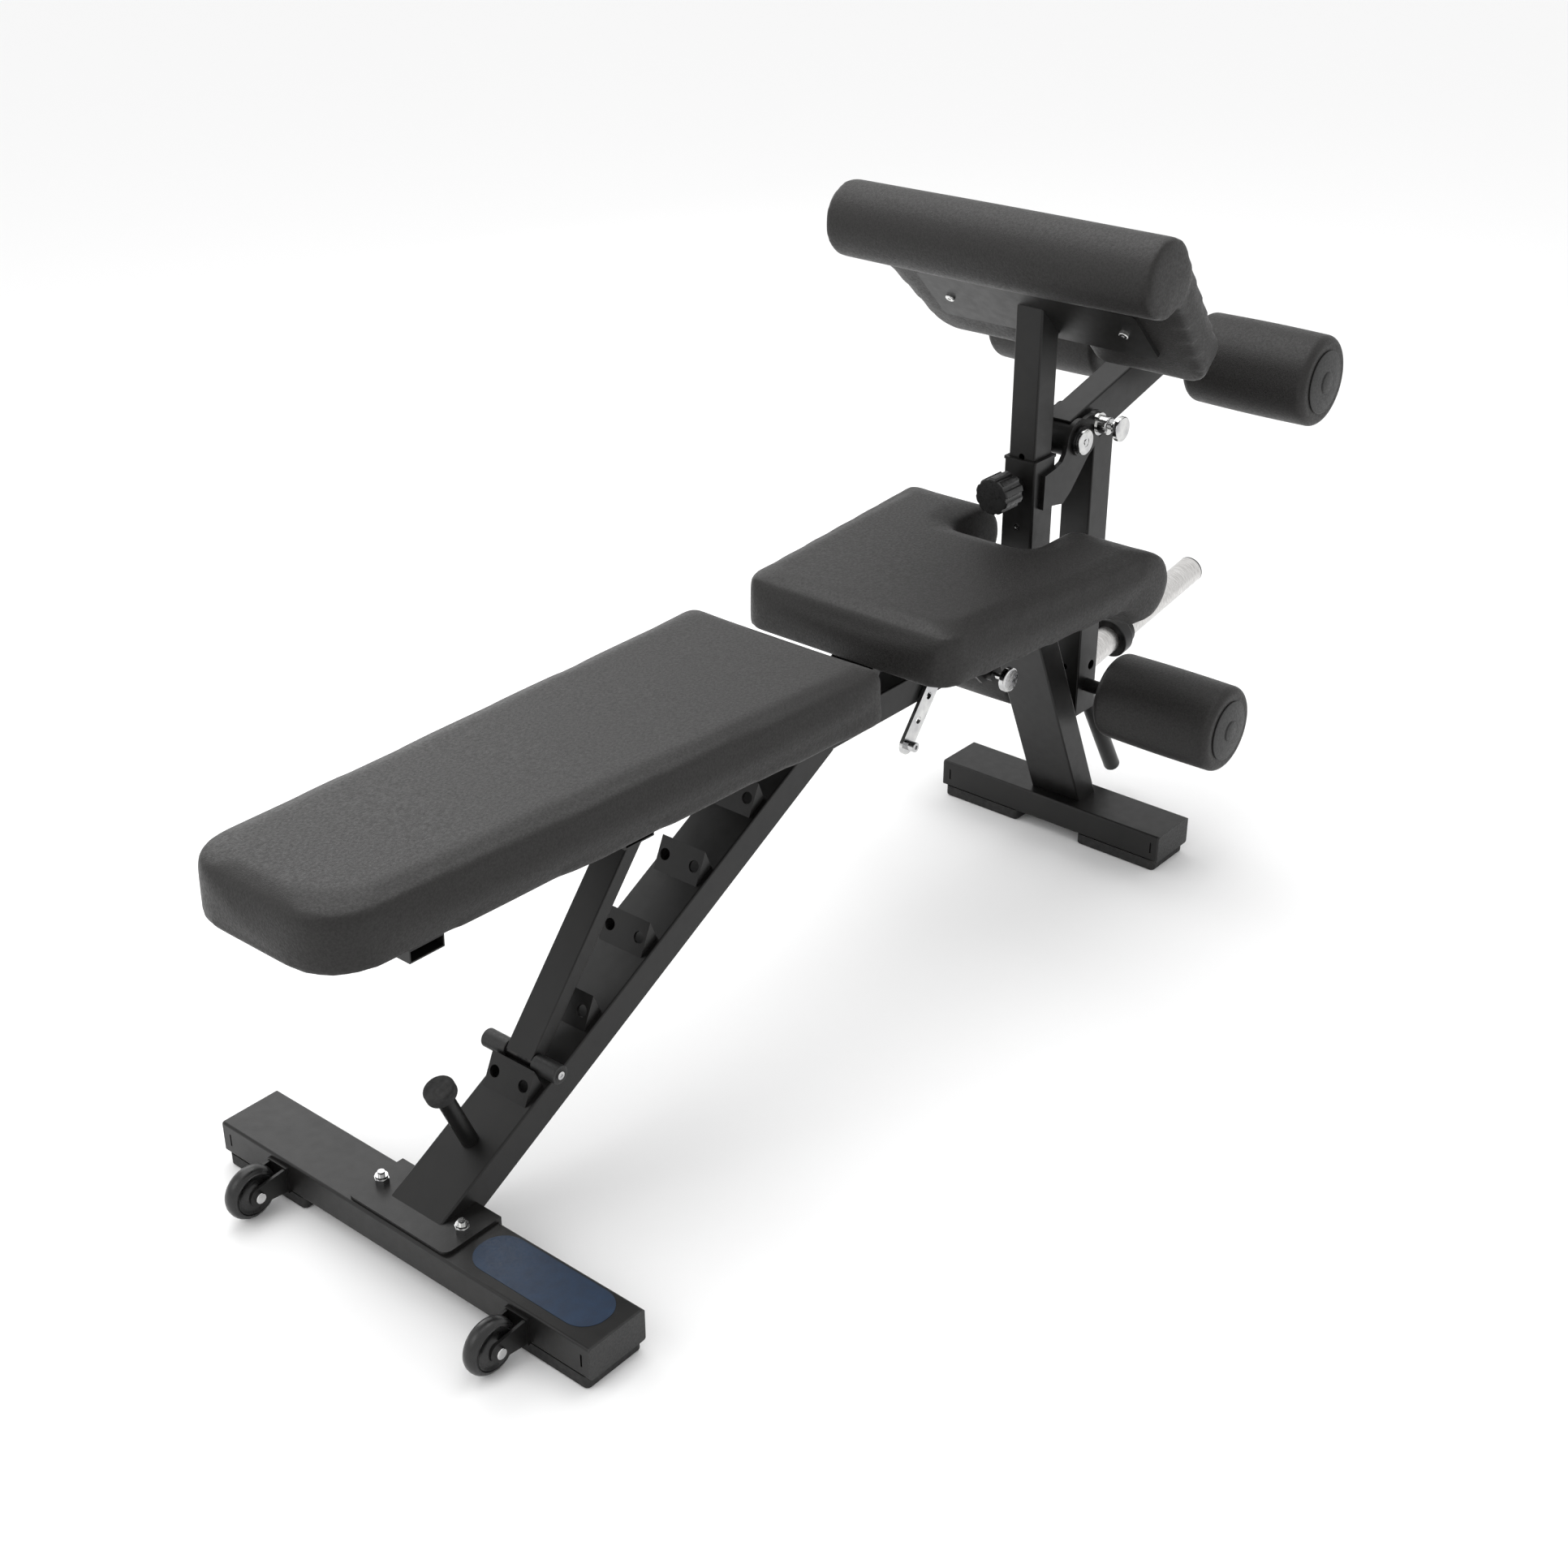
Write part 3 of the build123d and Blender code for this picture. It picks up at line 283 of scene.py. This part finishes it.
for name in ("wheel_far", "wheel_near"):
    low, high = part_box(name)
    radius, half = (high[2] - low[2]) / 2, (high[1] - low[1]) / 2
    hub_and_dish = [(0.0052, -half), (0.012, -half), (0.0128, -half + 0.0006),
                    (0.0135, -half + 0.003), (0.022, -half + 0.0042), (0.0265, -half + 0.003),
                    (0.029, -half + 0.0012), (0.031, -half + 0.0008)]
    crown = 0.009
    tread = list(hub_and_dish)
    for k in range(9):
        turn = math.pi * k / 8
        tread.append((radius - crown + crown * math.sin(turn), -(half - 0.0008) * math.cos(turn)))
    tread += [(r, -y) for r, y in reversed(hub_and_dish)]
    tread.append(tread[0])
    wheel = turned(name + "_turned", middle_of(name), tread, gloss, name)
    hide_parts(name)

# ---- lock knob ----
# The curl pad's height knob is a fluted hand knob of glossy black plastic, moulded round a steel pin
# that is pulled out against a spring.
dress(gloss, "collar_knob")

# ---- backrest, seat and curl pads ----
# Each pad is firm foam on a plywood board, covered with black leatherette that is stretched over the
# edges and stapled underneath. The cover has a pebbled grain, and stands out a little along the sides.
leather, tree, shader, points = finish_of("black_leatherette", (0.022, 0.021, 0.020), 0.5)
warp = tree.nodes.new("ShaderNodeMixRGB")
warp.blend_type = "ADD"
warp.inputs["Fac"].default_value = 0.0012
wander = tree.nodes.new("ShaderNodeTexNoise")
wander.inputs["Scale"].default_value = 160
tree.links.new(points, wander.inputs["Vector"])
tree.links.new(points, warp.inputs["Color1"])
tree.links.new(wander.outputs["Color"], warp.inputs["Color2"])
pebbles = tree.nodes.new("ShaderNodeTexVoronoi")
pebbles.feature = "F1"
pebbles.inputs["Scale"].default_value = 430
tree.links.new(warp.outputs["Color"], pebbles.inputs["Vector"])
tint(tree, noise(tree, points, 330, 4), (0.0050, 0.0043, 0.0038), (0.0105, 0.0096, 0.0090),
     shader.inputs["Base Color"], 0.38, 0.62)
spread(tree, noise(tree, points, 240, 3), 0.44, 0.62, shader.inputs["Roughness"])
relief(tree, shader, [(noise(tree, points, 9, 2), 0.0012, 0.25), (pebbles.outputs["Distance"], 0.0005, 0.40),
                      (noise(tree, points, 1300, 2), 0.0001, 0.3)])
shader.inputs["Specular IOR Level"].default_value = 0.38
shader.inputs["Sheen Weight"].default_value = 0.02
shader.inputs["Sheen Roughness"].default_value = 0.5


def settled(piece):
    """Turns a piece's modifiers into plain mesh."""
    bpy.context.view_layer.update()
    solid = bpy.data.meshes.new_from_object(piece.evaluated_get(bpy.context.evaluated_depsgraph_get()))
    piece.modifiers.clear()
    piece.data = solid


def upholster(name, body, voxel, board):
    """A stuffed cover over a CAD pad. board(point) is true where the cover is held to its board."""
    pad = bpy.data.objects.new(name + "_cover", nodes[name].data.copy())
    scene.collection.objects.link(pad)
    pad.data.materials.clear()
    remesh = pad.modifiers.new("remesh", "REMESH")
    remesh.mode, remesh.voxel_size, remesh.adaptivity = "VOXEL", voxel, 0
    settled(pad)
    smooth = pad.modifiers.new("smooth", "CORRECTIVE_SMOOTH")
    smooth.factor, smooth.iterations, smooth.use_only_smooth = 0.5, 3, True
    settled(pad)
    start = [v.co.copy() for v in pad.data.vertices]
    proud, frames = 0.004, 12
    for vertex in pad.data.vertices:
        if not board(vertex.co):
            vertex.co -= vertex.normal * proud * 0.6
    held = pad.vertex_groups.new(name="held")
    held.add([v.index for v in pad.data.vertices if board(v.co)], 1.0, "REPLACE")
    cloth = pad.modifiers.new("cloth", "CLOTH")
    cloth.settings.quality = 2
    cloth.settings.mass = 0.6
    cloth.settings.tension_stiffness = cloth.settings.compression_stiffness = 30
    cloth.settings.bending_stiffness = 6
    cloth.settings.use_pressure = True
    cloth.settings.uniform_pressure_force = 4
    cloth.settings.vertex_group_mass = "held"
    cloth.settings.effector_weights.gravity = 0
    cloth.point_cache.frame_start, cloth.point_cache.frame_end = 1, frames
    for frame_number in range(1, frames + 1):
        scene.frame_set(frame_number)
    moved = pad.evaluated_get(bpy.context.evaluated_depsgraph_get()).to_mesh()
    ends = [v.co.copy() for v in moved.vertices]
    pad.modifiers.clear()
    for vertex, first, last in zip(pad.data.vertices, start, ends):
        step = last - first
        vertex.co = first + step * min(1.0, proud / max(step.length, 1e-9))
    scene.frame_set(1)
    even = pad.modifiers.new("even", "CORRECTIVE_SMOOTH")
    even.factor, even.iterations, even.use_only_smooth = 0.5, 2, True
    fine = pad.modifiers.new("fine", "SUBSURF")
    fine.levels = fine.render_levels = 1
    settled(pad)
    for face in pad.data.polygons:
        face.use_smooth = True
    pad.data.materials.append(leather)
    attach(pad, body)
    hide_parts(name)


back_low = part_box("backrest_pad")[0][2]
upholster("backrest_pad", "backrest", 0.008, lambda p: p.z < back_low + 0.030)
seat_low, seat_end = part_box("seat_cross_plates")[1][2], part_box("seat_pad")[1][0]
upholster("seat_pad", "seat", 0.008, lambda p: p.z < seat_low + 0.006 and p.x < seat_end - 0.11)
panel_low, panel_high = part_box("board_panel")
board_sum = panel_high[0] + panel_low[2]
upholster("curl_pad", "curl", 0.006,
          lambda p: p.x + p.z < board_sum + 0.004 and p.x > panel_low[0] + 0.02)

# ---- foam rollers and their end caps ----
# Four thick foam rolls in the same leatherette turn freely on the two axles. Each is kept on by a
# domed mushroom cap of black plastic, with a flat rim and a small centre disc, plugged into the axle.
bore, soft, swell = 0.0165, 0.014, 0.0012
for name in ("roller_upper_far", "roller_upper_near", "roller_lower_far", "roller_lower_near"):
    low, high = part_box(name)
    radius, half = (high[2] - low[2]) / 2, (high[1] - low[1]) / 2
    near_end = [(bore, -half + 0.0015), (radius - soft - 0.02, -half + 0.0004)]
    for k in range(9):
        turn = math.pi / 2 * k / 8
        near_end.append((radius - swell - soft + soft * math.sin(turn),
                         -half + soft - soft * math.cos(turn)))
    barrel = [(radius - swell + swell * math.sin(math.pi * k / 8),
               -half + soft + 2 * (half - soft) * k / 8) for k in range(1, 8)]
    far_end = [(r, -y) for r, y in reversed(near_end)]
    foam = turned(name + "_foam", middle_of(name), near_end + barrel + far_end + near_end[:1],
                  leather, name)
    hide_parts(name)

caps_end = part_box("roller_caps")[1][1]
dome, disc, rim = 0.0480, 0.0185, 0.0026
for name in ("roller_upper_far", "roller_upper_near", "roller_lower_far", "roller_lower_near"):
    axis = middle_of(name)
    sign = 1 if axis[1] > 0 else -1
    face = (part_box(name)[1][1] if sign > 0 else -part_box(name)[0][1]) + 0.0004
    tall = caps_end - face
    profile = [(0.0, 0.0), (0.0515, 0.0), (0.0525, 0.0006), (0.0525, 0.0016), (0.0512, 0.0024),
               (0.0492, 0.0022), (dome, rim)]
    for k in range(1, 11):
        turn = math.pi / 2 * k / 10
        profile.append((dome - (dome - disc) * k / 10, rim + (tall - rim - 0.0018) * math.sin(turn)))
    profile += [(0.0180, tall - 0.0022), (0.0176, tall - 0.0004), (0.0168, tall), (0.0, tall)]
    cap = turned(name.replace("roller", "mushroom_cap"), (axis[0], sign * face, axis[2]),
                 [(r, sign * y) for r, y in profile], plastic, "leg_arm")
    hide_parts("roller_caps")
